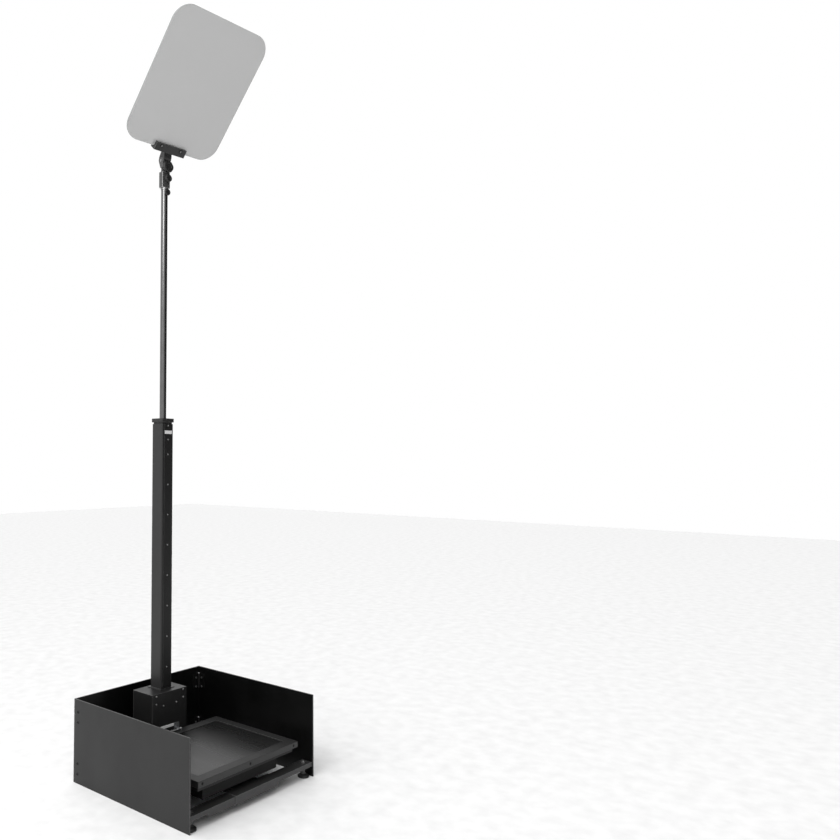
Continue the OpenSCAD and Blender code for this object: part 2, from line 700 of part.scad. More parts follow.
// Cheek against the knuckle, with two ears that hold the elbow pin and run down beside the knuckle
module roll_bracket() color([0.33, 0.33, 0.34]) in_head() difference() {
    union() {
        rod_y(cheek_r, 0, roll_z, cheek_y[0], cheek_y[1]);
        block([-cheek_r, cheek_y[0], roll_z], [cheek_r, cheek_y[1], roll_z + 9]);
        block([-block_w / 2, cheek_y[0], roll_z + 7], [block_w / 2, cheek_y[1], elbow_z - 4]);
        for (s = [-1, 1]) on_side(s) {
            block([-block_w / 2, cheek_y[0], roll_z + 9.2], [-block_w / 2 + ear_t, 4, elbow_z - 4]);
            rod_x(ear_r, elbow_y, elbow_z, -block_w / 2, -block_w / 2 + ear_t);
            translate([-block_w / 2 + skirt_t / 2, 0, 0]) across(skirt_t) polygon([
                [cheek_y[0], roll_z - 1.5], [2.6, roll_z - 1.5], [5.2, roll_z + 5],
                [8, elbow_z - 5], [cheek_y[0], elbow_z - 5]
            ]);
            block([-block_w / 2, cheek_y[0], roll_z - 1.5], [0, cheek_y[1], roll_z + 9]);
        }
    }
    rod_x(ear_r - 0.2, elbow_y, elbow_z, -block_w / 2 + ear_t, block_w / 2 - ear_t);
    rod_x(elbow_pin_r, elbow_y, elbow_z, -block_w, block_w);
    rod_y(3 + fit, 0, roll_z, cheek_y[0] - 1, cheek_y[1] + 1);
}

module elbow_pin() color("silver") in_head() {
    rod_x(elbow_pin_r, elbow_y, elbow_z, -block_w / 2 - 0.1, block_w / 2 + 0.1);
    for (s = [-1, 1]) on_side(s) rod_x(4, elbow_y, elbow_z, -block_w / 2 - 1.2, -block_w / 2);
}

// Unit vectors up the glass's slope and out of its underside, in the head's Y and Z
up_slope = [-cos(glass_lean), sin(glass_lean)];
out_under = [-sin(glass_lean), -cos(glass_lean)];
web = function(k) [lower_edge_y, lower_edge_z] - clamp_drop * up_slope + k * out_under;

// Side outline of the arm above the elbow, swept from the pivot to the clamp's underside
arm_outline = concat(
    [web(clamp_t / 2)],
    [for (p = [[-14.2, 11], [-12.6, 5], [-10.9, 0.4], [0, 0.4], [10.6, 1.6], [9.4, 8], [6.4, 15], [2.6, 21]])
        [elbow_y, elbow_z] + p],
    [web(-clamp_t / 2 + 4)]
);

// Extrudes an outline given in Y and Z along X, from -w/2 to w/2
module across(w) rotate([90, 0, 90]) translate([0, 0, -w / 2]) linear_extrude(w) children();

module tilt_arm() color([0.35, 0.35, 0.36]) in_head() difference() {
    union() {
        difference() {
            across(block_w) polygon(arm_outline);
            for (s = [-1, 1]) on_side(s) rod_x(ear_r + 0.4, elbow_y, elbow_z, -block_w, -tongue_w / 2);
        }
        rod_x(ear_r - 0.7, elbow_y, elbow_z, -tongue_w / 2, tongue_w / 2);
    }
    rod_x(elbow_pin_r + fit, elbow_y, elbow_z, -block_w, block_w);
}

// ---- Glass and its clamp, in the glass's frame ----

// Channel that holds the glass's lower edge, with threaded holes in its front jaw
module clamp_channel() color([0.14, 0.14, 0.15]) in_glass() difference() {
    translate([clamp_shift, 0, 0])
        block([-clamp_l / 2, -clamp_drop, -clamp_t / 2], [clamp_l / 2, clamp_rise, clamp_t / 2]);
    block([-clamp_l, -slot_floor, -jaw_gap], [clamp_l, clamp_rise + 1, jaw_gap]);
    for (s = [-1, 1]) translate([clamp_shift + s * clamp_screw_x, clamp_screw_y, 0])
        cylinder(r = 2.5 + fit, h = clamp_t);
}

// Rubber behind and below the glass, and the strip that the screws press on it
module clamp_gaskets() color([0.2, 0.2, 0.2]) in_glass() translate([clamp_shift, 0, 0]) {
    l = clamp_l / 2 - 1;
    block([-l, 0, -jaw_gap], [l, clamp_rise - 0.4, -glass_t / 2]);
    block([-l, -slot_floor, -jaw_gap], [l, 0, jaw_gap]);
    block([-l, 0, glass_t / 2], [l, clamp_rise - 0.4, jaw_gap - gap]);
}

module clamp_screws() color("silver") in_glass() for (s = [-1, 1])
    translate([clamp_shift + s * clamp_screw_x, clamp_screw_y, 0]) rotate_extrude() polygon([
        [0, jaw_gap - gap], [2.5, jaw_gap - gap], [2.5, clamp_t / 2], [4, clamp_t / 2],
        [4, clamp_t / 2 + 1.6], [3.4, clamp_t / 2 + 2.4], [1.5, clamp_t / 2 + 2.4],
        [1.5, clamp_t / 2 + 1], [0, clamp_t / 2 + 1]
    ]);

module beam_splitter_glass() color([0.75, 0.77, 0.78, 0.5]) in_glass()
    translate([0, glass_l / 2, -glass_t / 2]) linear_extrude(glass_t) rounded(glass_w, glass_l, glass_r);

back_panel();
back_hinge_leaves();
back_panel_bolts();
side_panel(-1);  // left_panel
side_leaves(-1);  // left_hinge_leaves
side_bolts(-1);  // left_panel_bolts
side_panel(1);  // right_panel
side_leaves(1);  // right_hinge_leaves
side_bolts(1);  // right_panel_bolts
front_rail_left();
front_rail_right();
rail_joiner();
rear_rail();
base_spine();
foot_nuts();
foot(-1, front_rail_y);  // foot_front_left
foot(1, front_rail_y);  // foot_front_right
foot(-1, rear_rail_y);  // foot_rear_left
foot(1, rear_rail_y);  // foot_rear_right
monitor_posts();
housing_floor();
housing_shell();
housing_front_plate();
housing_rear_cover();
housing_screws();
gear_plate();
lift_motor();
motor_pulley();
drive_belt();
lead_screw();
screw_bearing();
control_board();
power_inlet();
column_tube();
column_strip();
strip_screws();
column_cap();
guide_bush();
mast_rod();
drive_nut();
rod_spigot();
rod_knob();
monitor_bracket();
monitor_hinge_bar();
monitor_bezel();
screen_panel();
monitor_tray();
electronics_box();
receiver_block();
swivel_knob();
head_washer();
head_knuckle();
roll_knob();
roll_bracket();
elbow_pin();
tilt_arm();
clamp_channel();
clamp_gaskets();
clamp_screws();
beam_splitter_glass();
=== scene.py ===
"""Visual model of the conference teleprompter stand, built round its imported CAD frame."""
import logging
import math
from collections.abc import Iterable, Sequence
from dataclasses import dataclass, field
from enum import Enum

import bmesh
import bpy
from mathutils import Matrix, Vector


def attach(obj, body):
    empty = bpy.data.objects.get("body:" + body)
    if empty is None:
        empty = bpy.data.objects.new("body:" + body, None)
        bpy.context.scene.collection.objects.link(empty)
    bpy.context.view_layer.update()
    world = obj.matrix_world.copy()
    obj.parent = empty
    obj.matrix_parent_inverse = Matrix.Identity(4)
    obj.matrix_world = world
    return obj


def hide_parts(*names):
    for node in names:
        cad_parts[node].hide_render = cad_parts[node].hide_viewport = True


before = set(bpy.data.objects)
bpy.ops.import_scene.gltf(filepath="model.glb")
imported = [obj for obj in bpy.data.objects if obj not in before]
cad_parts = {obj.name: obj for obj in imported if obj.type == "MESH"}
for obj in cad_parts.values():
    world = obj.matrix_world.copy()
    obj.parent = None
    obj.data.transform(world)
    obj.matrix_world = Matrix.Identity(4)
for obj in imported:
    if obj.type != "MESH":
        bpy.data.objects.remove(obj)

log = logging.getLogger("teleprompter")

MM = 0.001
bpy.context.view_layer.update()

Point = tuple[float, float, float]

# Places that several sub-assemblies share with the CAD source, in millimetres
MAST = Vector((10.0, 136.75, 0.0))
HEAD_YAW = math.radians(-5.8)
GLASS_LEAN = math.radians(45.8)
LOWER_EDGE = Vector((0.0, -13.0, 1648.8))
IN_HEAD = Matrix.Translation(MAST) @ Matrix.Rotation(HEAD_YAW, 4, "Z")
IN_GLASS = IN_HEAD @ Matrix.Translation(LOWER_EDGE) @ Matrix.Rotation(math.pi - GLASS_LEAN, 4, "X")


# ---- Shader graphs ----

class Link:
    """Output of a shader node, on which Python arithmetic adds Math nodes."""

    def __init__(self, graph: "Graph", socket: bpy.types.NodeSocket) -> None:
        """Wraps a socket.

        Args:
            graph: The graph that new nodes go into.
            socket: The node output to wrap.
        """
        self.graph = graph
        self.socket = socket

    def _math(self, operation: str, first: "Link | float", second: "Link | float") -> "Link":
        """Returns the output of a new Math node."""
        return self.graph.node("ShaderNodeMath", {"operation": operation}, {0: first, 1: second})

    def __add__(self, other: "Link | float") -> "Link":
        """Returns self + other."""
        return self._math("ADD", self, other)

    __radd__ = __add__

    def __sub__(self, other: "Link | float") -> "Link":
        """Returns self - other."""
        return self._math("SUBTRACT", self, other)

    def __rsub__(self, other: "Link | float") -> "Link":
        """Returns other - self."""
        return self._math("SUBTRACT", other, self)

    def __mul__(self, other: "Link | float") -> "Link":
        """Returns self * other."""
        return self._math("MULTIPLY", self, other)

    __rmul__ = __mul__


Input = Link | float | Sequence[float]


class Graph:
    """Node graph of one material or of the world."""

    def __init__(self, tree: bpy.types.NodeTree) -> None:
        """Empties a node tree.

        Args:
            tree: The tree to fill.
        """
        self.tree = tree
        self.tree.nodes.clear()

    def node(self, kind: str, settings: dict[str, object], inputs: dict[str | int, Input],
             output: str | int = 0) -> Link:
        """Adds any node.

        Args:
            kind: The node's type name.
            settings: Attributes of the node, set first; "stops" are a colour ramp's stops.
            inputs: Values or links of its sockets, by name or place.
            output: The output to return, by name or place.

        Returns:
            The chosen output.
        """
        made = self.tree.nodes.new(kind)
        for key, value in settings.items():
            if key == "stops":
                self._stops(made, value)
            else:
                setattr(made, key, value)
        for key, value in inputs.items():
            if isinstance(value, Link):
                self.tree.links.new(value.socket, made.inputs[key])
            else:
                made.inputs[key].default_value = value
        return Link(self, made.outputs[output])

    @staticmethod
    def _stops(ramp: bpy.types.ShaderNode, stops: Sequence[tuple[float, float]]) -> None:
        """Sets a colour ramp's stops.

        Args:
            ramp: The ramp node.
            stops: Pairs of a position and a grey level.
        """
        elements = ramp.color_ramp.elements
        while len(elements) < len(stops):
            elements.new(1.0)
        for element, (position, level) in zip(elements, stops):
            element.position = position
            element.color = (level, level, level, 1.0)

    def place(self, stretch: Point = (1.0, 1.0, 1.0)) -> Link:
        """Returns the place on the object, in millimetres times stretch."""
        coords = self.node("ShaderNodeTexCoord", {}, {}, "Object")
        scale = [s / MM for s in stretch]
        return self.node("ShaderNodeMapping", {}, {"Vector": coords, "Scale": scale})

    def noise(self, size: float, detail: float = 3.0, stretch: Point = (1.0, 1.0, 1.0)) -> Link:
        """Adds noise whose features are a given size.

        Args:
            size: Size of a feature, in millimetres.
            detail: Octaves of finer noise.
            stretch: Factor on each axis; a small one draws the noise out along it.

        Returns:
            The noise, from 0 to 1.
        """
        return self.node("ShaderNodeTexNoise", {"normalize": True},
                         {"Vector": self.place(stretch), "Scale": 1.0 / size, "Detail": detail}, "Fac")

    def ramp(self, value: Link, stops: Sequence[tuple[float, float]]) -> Link:
        """Returns the value sent through a grey ramp with the given stops."""
        return self.node("ShaderNodeValToRGB", {"stops": stops}, {"Fac": value})

    def blend(self, mask: Link | float, low: Input, high: Input) -> Link:
        """Returns the colour that goes from low to high as the mask goes from 0 to 1."""
        return self.node("ShaderNodeMix", {"data_type": "RGBA"}, {0: mask, 6: low, 7: high}, 2)

    def bump(self, height: Link, depth: float) -> Link:
        """Returns the normal of a height map whose full range is depth, in millimetres."""
        return self.node("ShaderNodeBump", {}, {"Height": height, "Distance": depth * MM, "Strength": 1.0})

    def close(self, kind: str, shader: Link) -> None:
        """Sends a shader to a new output node.

        Args:
            kind: The output node's type name.
            shader: The shader.
        """
        output = self.tree.nodes.new(kind)
        self.tree.links.new(shader.socket, output.inputs["Surface"])

    def finish(self, inputs: dict[str | int, Input]) -> None:
        """Closes a material's graph with a Principled shader that has the given inputs."""
        self.close("ShaderNodeOutputMaterial", self.node("ShaderNodeBsdfPrincipled", {}, inputs))


def grey(level: float, warmth: float = 0.0) -> tuple[float, float, float, float]:
    """Returns a grey as a colour, slightly warm or, below 0, slightly cold."""
    return (level * (1 + warmth), level, level * (1 - warmth), 1.0)


# ---- Finishes ----

@dataclass(frozen=True)
class Finish:
    """What every finish has: a name, a level of grey and a roughness."""

    name: str
    level: float
    roughness: float

    def material(self) -> bpy.types.Material:
        """Returns the finish's material, made on first use."""
        made = bpy.data.materials.get(self.name)
        if made is None:
            made = bpy.data.materials.new(self.name)
            made.use_nodes = True
            self.build(Graph(made.node_tree))
        return made

    def build(self, graph: Graph) -> None:
        """Fills the graph; each kind of finish has its own way."""
        raise NotImplementedError


@dataclass(frozen=True)
class PowderCoat(Finish):
    """Sprayed powder coat: fine orange peel, faint mottling and a few pale specks of dust.

    Attributes:
        peel: Size of the orange peel, in millimetres.
        depth: Height of the peel, in millimetres.
        dust: Share of pale specks, from 0 to 1.
        warmth: Warmth of the grey.
        shine: Level of the specular reflection.
    """

    peel: float = 0.9
    depth: float = 0.02
    dust: float = 0.25
    warmth: float = 0.0
    shine: float = 0.5

    def build(self, graph: Graph) -> None:
        """Fills the graph with the coat's material."""
        mottle = graph.noise(38.0, 4.0)
        peel = graph.noise(self.peel, 2.0)
        specks = graph.ramp(graph.noise(1.7, 1.0), [(0.0, 0.0), (0.70, 0.0), (0.78, 1.0)])
        smears = graph.ramp(graph.noise(90.0, 5.0, (1.0, 1.0, 0.5)), [(0.0, 0.0), (0.42, 0.0), (0.75, 1.0)])
        body = graph.blend(mottle, grey(self.level * 0.82, self.warmth), grey(self.level * 1.18, self.warmth))
        dusty = graph.blend(specks * self.dust, body, grey(min(1.0, self.level * 3.0 + 0.03), self.warmth))
        rough = smears * 0.10 + peel * 0.05 + (self.roughness - 0.06)
        dusty, rough = self.vary(graph, dusty, rough)
        graph.finish({"Base Color": dusty, "Roughness": rough, "Specular IOR Level": self.shine,
                      "Normal": graph.bump(peel, self.depth)})

    def vary(self, graph: Graph, color: Link, rough: Link) -> tuple[Link, Link]:
        """Returns the colour and the roughness; a finish that paints shade on some faces changes them."""
        return color, rough


@dataclass(frozen=True)
class PanelCoat(PowderCoat):
    """Powder coat with painted shade on the inner faces of the shroud, which are coloured near black there
    and made smoother.

    Attributes:
        inside: Half width and depth that the faces with painted shade lie within, in millimetres.
        painted_shade: Grey level of the painted shade on the inner faces.
    """

    inside: tuple[float, float] = (221.0, 203.0)
    painted_shade: float = 0.0015

    def vary(self, graph: Graph, color: Link, rough: Link) -> tuple[Link, Link]:
        """Returns the colour and the roughness, with painted shade and a lower roughness on the inner faces.
        """
        place = graph.place()
        x, y = (graph.node("ShaderNodeSeparateXYZ", {}, {"Vector": place}, axis) for axis in "XY")
        width = graph.node("ShaderNodeMath", {"operation": "ABSOLUTE"}, {0: x})
        narrow = graph.node("ShaderNodeMath", {"operation": "LESS_THAN"}, {0: width, 1: self.inside[0]})
        shallow = graph.node("ShaderNodeMath", {"operation": "LESS_THAN"}, {0: y, 1: self.inside[1]})
        # Painted shade: inside the shroud the colour goes near black to stand in for the shade there; the
        # roughness drops too.
        painted_shade_mask = narrow * shallow
        return graph.blend(painted_shade_mask, color, grey(self.painted_shade)), rough - painted_shade_mask * 0.16


@dataclass(frozen=True)
class EdgeHighlightAndWear(Finish):
    """Paler, smoother finish on rounded edges: a painted highlight along the edge, with blotches of rubbed
    wear paler still.
    """

    def build(self, graph: Graph) -> None:
        """Fills the graph with the edge's material: painted highlight and rubbed wear."""
        # Painted highlight: the edge grey sits well above its body's grey so rounded edges read as lit; the
        # rubbed blotches on top stand for wear.
        rub = graph.ramp(graph.noise(6.0, 5.0), [(0.0, 0.0), (0.38, 0.0), (0.66, 1.0)])
        color = graph.blend(rub, grey(self.level), grey(self.level * 1.9))
        graph.finish({"Base Color": color, "Roughness": self.roughness - 0.08 * rub,
                             "Normal": graph.bump(graph.noise(0.7), 0.01)})


@dataclass(frozen=True)
class Metal(Finish):
    """Bare or plated metal with fine tool marks drawn out along one axis.

    Attributes:
        grain: Stretch of the marks on each axis; the marks run along the small one.
        warmth: Warmth of the metal's colour.
        marks: Depth of the marks, in millimetres.
    """

    grain: Point = (1.0, 1.0, 0.04)
    warmth: float = 0.0
    marks: float = 0.004

    def build(self, graph: Graph) -> None:
        """Fills the graph with the metal's material."""
        lines = graph.noise(0.5, 3.0, self.grain)
        haze = graph.noise(24.0, 4.0)
        color = graph.blend(haze, grey(self.level * 0.88, self.warmth), grey(self.level * 1.08, self.warmth))
        rough = lines * 0.14 + haze * 0.10 + (self.roughness - 0.12)
        graph.finish({"Base Color": color, "Metallic": 1.0, "Roughness": rough,
                      "Normal": graph.bump(lines, self.marks)})


@dataclass(frozen=True)
class Moulded(Finish):
    """Moulded plastic or rubber with a fine spark-eroded grain.

    Attributes:
        grain: Size of the grain, in millimetres.
        depth: Depth of the grain, in millimetres.
        tint: Colour that multiplies the grey level.
    """

    grain: float = 0.5
    depth: float = 0.015
    tint: Point = (1.0, 1.0, 1.0)

    def build(self, graph: Graph) -> None:
        """Fills the graph with the plastic's material."""
        pits = graph.node("ShaderNodeTexVoronoi", {"feature": "SMOOTH_F1"},
                          {"Vector": graph.place(), "Scale": 1.0 / self.grain, "Smoothness": 0.6}, "Distance")
        cloud = graph.noise(45.0, 4.0)
        base = [self.level * t for t in self.tint]
        color = graph.blend(cloud, [c * 0.88 for c in base] + [1.0], [c * 1.12 for c in base] + [1.0])
        rough = pits * 0.08 + cloud * 0.08 + (self.roughness - 0.07)
        graph.finish({"Base Color": color, "Roughness": rough, "Normal": graph.bump(pits, self.depth)})


@dataclass(frozen=True)
class Display(Finish):
    """Matt anti-glare face of a dark display, with faint wipe marks."""

    def build(self, graph: Graph) -> None:
        """Fills the graph with the display's material."""
        wipes = graph.ramp(graph.noise(70.0, 2.0, (1.0, 0.35, 1.0)), [(0.0, 0.0), (0.35, 0.0), (0.8, 1.0)])
        color = graph.blend(wipes, grey(self.level), grey(self.level * 1.35))
        graph.finish({"Base Color": color, "Roughness": wipes * 0.06 + self.roughness})


@dataclass(frozen=True)
class CoatedGlass(Finish):
    """Half-silvered glass: a pale, nearly even grey with a faint unevenness of the coating.

    Attributes:
        cover: How much of what is behind it the coating hides, from 0 to 1.
        tint: Colour that multiplies the grey level.
    """

    cover: float = 0.8
    tint: Point = (1.0, 1.0, 1.0)

    def build(self, graph: Graph) -> None:
        """Fills the graph with the glass's material."""
        haze = graph.noise(130.0, 3.0)
        base = [self.level * t for t in self.tint]
        color = graph.blend(haze, [c * 0.985 for c in base] + [1.0], [c * 1.015 for c in base] + [1.0])
        graph.finish({"Base Color": color, "Roughness": haze * 0.02 + self.roughness,
                      "Alpha": self.cover, "IOR": 1.5})


@dataclass(frozen=True)
class CircuitBoard(Finish):
    """Green solder mask over copper tracks."""

    def build(self, graph: Graph) -> None:
        """Fills the graph with the board's material."""
        tracks = graph.node("ShaderNodeTexBrick", {"offset": 0.5},
                            {"Vector": graph.place((1.0, 1.0, 1.0)), "Scale": 0.25, "Mortar Size": 0.06,
                             "Color1": grey(0.0), "Color2": grey(0.3), "Mortar": grey(1.0)})
        color = graph.blend(graph.ramp(tracks, [(0.0, 0.0), (1.0, 1.0)]),
                            (0.01, 0.07, 0.03, 1.0), (0.03, 0.16, 0.07, 1.0))
        graph.finish({"Base Color": color, "Roughness": graph.noise(9.0) * 0.1 + self.roughness})


# The panel coat paints shade on the shroud's inner faces.
PANEL = PanelCoat("panel_powder_coat", 0.0075, 0.48)
# Edge finishes paint a highlight on rounded edges, with some rubbed wear.
PANEL_EDGE = EdgeHighlightAndWear("panel_edge_highlight_and_wear", 0.055, 0.42)
RAIL = PowderCoat("rail_grey_coat", 0.026, 0.44, peel=1.2)
RAIL_EDGE = EdgeHighlightAndWear("rail_edge_highlight_and_wear", 0.08, 0.38)
SPINE = PowderCoat("spine_dark_coat", 0.009, 0.50)
HOUSING = PowderCoat("housing_fine_coat", 0.009, 0.42, peel=0.6, depth=0.012)
SHELL = PowderCoat("housing_shell_coat", 0.010, 0.40, peel=0.7, depth=0.012)
HOUSING_EDGE = EdgeHighlightAndWear("housing_edge_highlight_and_wear", 0.04, 0.38)
COLUMN = PowderCoat("column_coat", 0.012, 0.40, peel=1.0)
COLUMN_EDGE = EdgeHighlightAndWear("column_edge_highlight_and_wear", 0.03, 0.36)
STRIP = PowderCoat("strip_black_coat", 0.005, 0.50, peel=0.6, depth=0.01, dust=0.1, shine=0.3)
TRAY = PowderCoat("tray_black_coat", 0.006, 0.50, peel=0.6, depth=0.01, dust=0.1, shine=0.3)
BLACKENED = PowderCoat("flat_black_coat", 0.003, 0.60, peel=0.6, depth=0.01, dust=0.1, shine=0.15)
HEAD = PowderCoat("head_anodised_black", 0.020, 0.34, peel=0.5, depth=0.008, dust=0.1)
CLAMP = PowderCoat("clamp_anodised_black", 0.006, 0.40, peel=0.5, depth=0.008, dust=0.1)
BLOCK = PowderCoat("block_grey_anodising", 0.055, 0.34, peel=0.5, depth=0.008, dust=0.1)
HEAD_EDGE = EdgeHighlightAndWear("head_edge_highlight_and_wear", 0.08, 0.30)
# The block's edge grey is the brightest: a painted highlight along its bevels.
BLOCK_EDGE = EdgeHighlightAndWear("block_edge_highlight_and_wear", 0.28, 0.26)
ROD = Metal("rod_black_chrome", 0.16, 0.26, marks=0.0003)
STEEL = Metal("bright_steel", 0.55, 0.28, grain=(1.0, 1.0, 0.3))
SCREW = Metal("dull_screw_zinc", 0.30, 0.36, grain=(1.0, 1.0, 0.3))
BLACK_OXIDE = Metal("black_oxide_steel", 0.035, 0.36, grain=(1.0, 1.0, 0.3))
HINGE = Metal("hinge_dark_plate", 0.05, 0.40, grain=(1.0, 1.0, 0.2))
ZINC = Metal("zinc_plate", 0.50, 0.42, grain=(0.2, 1.0, 1.0), warmth=-0.03)
BRONZE = Metal("nut_bronze", 0.45, 0.35, warmth=0.30)
MOTOR = Metal("motor_can_steel", 0.50, 0.34)
KNOB = Moulded("knob_black_plastic", 0.012, 0.40)
BUSH = Moulded("bush_white_plastic", 0.62, 0.40)
BEZEL = Moulded("bezel_grey_plastic", 0.012, 0.46, grain=0.8, depth=0.02)
BEZEL_EDGE = EdgeHighlightAndWear("bezel_edge", 0.014, 0.44)
RUBBER = Moulded("black_rubber", 0.010, 0.72, grain=1.4, depth=0.02)
FOOT = Moulded("foot_black_plastic", 0.012, 0.46)
PAPER = Moulded("pale_paper_floor", 0.93, 0.95, grain=2.0, depth=0.0)
LABEL = Moulded("white_label_film", 0.66, 0.45, grain=0.2, depth=0.002)
SCREEN = Display("anti_glare_screen", 0.006, 0.27)
BOARD = CircuitBoard("controller_board", 1.0, 0.40)
GLASS = CoatedGlass("half_silvered_glass", 0.54, 0.10, tint=(1.0, 1.0, 1.0))
GLASS_EDGE = CoatedGlass("polished_glass_edge", 0.34, 0.12, cover=0.95, tint=(0.95, 1.0, 0.98))


# ---- Meshes ----

class Outline(Enum):
    """Outline of one ring of a turned piece."""

    ROUND = "round"
    HEX = "hex"
    LOBED = "lobed"
    FLUTED = "fluted"

    def factor(self, angle: float) -> float:
        """Returns the share of the ring's radius at an angle, in radians."""
        if self is Outline.HEX:
            third = math.pi / 3
            return 1 / math.cos(angle % third - third / 2)
        if self is Outline.LOBED:
            return 0.91 + 0.09 * abs(math.cos(angle * 2.5)) ** 0.55
        if self is Outline.FLUTED:
            return 0.965 + 0.035 * math.cos(angle * 12)
        return 1.0


Ring = tuple[float, float] | tuple[float, float, Outline]


class Shape:
    """Mesh of one piece under construction, in millimetres in the part's frame."""

    def __init__(self) -> None:
        """Starts with no faces."""
        self.mesh = bmesh.new()

    def turned(self, rings: Sequence[Ring], place: Matrix, segments: int = 48) -> "Shape":
        """Adds a piece turned round an axis; the profile runs from axis to axis.

        Args:
            rings: Radius and height of each ring, with its outline where it isn't round.
            place: Places the axis, Z, in the part's frame.
            segments: Points round each ring.

        Returns:
            This shape.
        """
        rows = []
        for radius, height, *outline in rings:
            style = outline[0] if outline else Outline.ROUND
            count = segments if radius > 0 else 1
            row = []
            for step in range(count):
                angle = math.tau * step / segments
                reach = radius * style.factor(angle)
                point = Vector((reach * math.cos(angle), reach * math.sin(angle), height))
                row.append(self.mesh.verts.new(place @ point))
            rows.append(row)
        for low, high in zip(rows, rows[1:]):
            for step in range(segments):
                after = (step + 1) % segments
                corners = [low[step % len(low)], low[after % len(low)],
                           high[after % len(high)], high[step % len(high)]]
                self.mesh.faces.new(list(dict.fromkeys(corners)))
        return self

    def prism(self, outline: Sequence[tuple[float, float]], low: float, high: float,
              place: Matrix = Matrix.Identity(4)) -> "Shape":
        """Adds a prism on an outline in its own XY plane.

        Args:
            outline: Corners in order.
            low: Height of the lower face.
            high: Height of the upper face.
            place: Places the prism in the part's frame.

        Returns:
            This shape.
        """
        rows = [[self.mesh.verts.new(place @ Vector((x, y, z))) for x, y in outline] for z in (low, high)]
        self.mesh.faces.new(list(reversed(rows[0])))
        self.mesh.faces.new(rows[1])
        for here in range(len(outline)):
            after = (here + 1) % len(outline)
            self.mesh.faces.new([rows[0][here], rows[0][after], rows[1][after], rows[1][here]])
        return self

    def slab(self, low: Point, high: Point, place: Matrix = Matrix.Identity(4)) -> "Shape":
        """Adds a box between two corners and returns this shape."""
        corners = [(low[0], low[1]), (high[0], low[1]), (high[0], high[1]), (low[0], high[1])]
        return self.prism(corners, low[2], high[2], place)

    def object(self, name: str) -> bpy.types.Object:
        """Returns the shape as a linked object in metres, with faces turned outward."""
        bmesh.ops.recalc_face_normals(self.mesh, faces=self.mesh.faces[:])
        bmesh.ops.scale(self.mesh, vec=(MM, MM, MM), verts=self.mesh.verts[:])
        data = bpy.data.meshes.new(name)
        self.mesh.to_mesh(data)
        self.mesh.free()
        made = bpy.data.objects.new(name, data)
        bpy.context.scene.collection.objects.link(made)
        return made


def round_corners(width: float, depth: float, radius: float, steps: int = 16) -> list[tuple[float, float]]:
    """Returns the outline of a centred rectangle with round corners.

    Args:
        width: Size along X.
        depth: Size along Y.
        radius: Radius of the corners.
        steps: Steps in each corner.
    """
    points = []
    for corner, (sx, sy) in enumerate([(1, 1), (-1, 1), (-1, -1), (1, -1)]):
        for step in range(steps + 1):
            angle = math.pi / 2 * (corner + step / steps)
            points.append((sx * (width / 2 - radius) + radius * math.cos(angle),
                           sy * (depth / 2 - radius) + radius * math.sin(angle)))
    return points


def smooth_outline(points: Sequence[tuple[float, float]], steps: int = 6) -> list[tuple[float, float]]:
    """Returns an open outline drawn smoothly through the points.

    Args:
        points: Points that the outline passes through.
        steps: Steps between two points.
    """
    held = [points[0], *points, points[-1]]
    drawn = []
    for a, b, c, d in zip(held, held[1:], held[2:], held[3:]):
        for step in range(steps):
            t = step / steps
            drawn.append(tuple(0.5 * (2 * q + (r - p) * t + (2 * p - 5 * q + 4 * r - s) * t * t
                                      + (3 * q - p - 3 * r + s) * t ** 3) for p, q, r, s in zip(a, b, c, d)))
    return [*drawn, points[-1]]


def facing(at: Iterable[float], direction: Iterable[float],
           frame_place: Matrix = Matrix.Identity(4)) -> Matrix:
    """Returns the placing of a turned piece.

    Args:
        at: Where its origin goes.
        direction: Where its axis, Z, points.
        frame_place: The frame that both are given in.
    """
    turn = Vector(direction).to_track_quat("Z", "Y").to_matrix().to_4x4()
    return frame_place @ Matrix.Translation(Vector(at)) @ turn


def soften(piece: bpy.types.Object, width: float, edge: Finish | None = None) -> None:
    """Rounds a piece's hard edges with modifiers.

    Args:
        piece: The piece or CAD node.
        width: Width of the rounding, in millimetres.
        edge: Finish of the rounded edges, where it isn't the piece's own.
    """
    weld = piece.modifiers.new("weld", "WELD")
    weld.merge_threshold = 0.004 * MM
    flatten = piece.modifiers.new("flatten", "DECIMATE")
    flatten.decimate_type = "DISSOLVE"
    flatten.angle_limit = math.radians(0.4)
    bevel = piece.modifiers.new("bevel", "BEVEL")
    bevel.width = width * MM
    bevel.segments = 3
    bevel.limit_method = "ANGLE"
    bevel.angle_limit = math.radians(32)
    bevel.use_clamp_overlap = False
    if edge:
        piece.data.materials.append(edge.material())
        bevel.material = len(piece.data.materials) - 1
    normals = piece.modifiers.new("normals", "WEIGHTED_NORMAL")
    normals.keep_sharp = True
    normals.weight = 100


def dress(node: str, finish: Finish, width: float = 0.0, edge: Finish | None = None) -> None:
    """Gives a CAD node its finish and rounds its edges.

    Args:
        node: The node's name.
        finish: Its finish.
        width: Width of the edge rounding, in millimetres, or 0 for none.
        edge: Finish of the rounded edges, where it isn't the node's own.
    """
    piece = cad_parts[node]
    for holder in piece.material_slots:
        holder.link = "OBJECT"
        holder.material = finish.material()
    if width:
        soften(piece, width, edge)
    log.info("dressed %s in %s", node, finish.name)


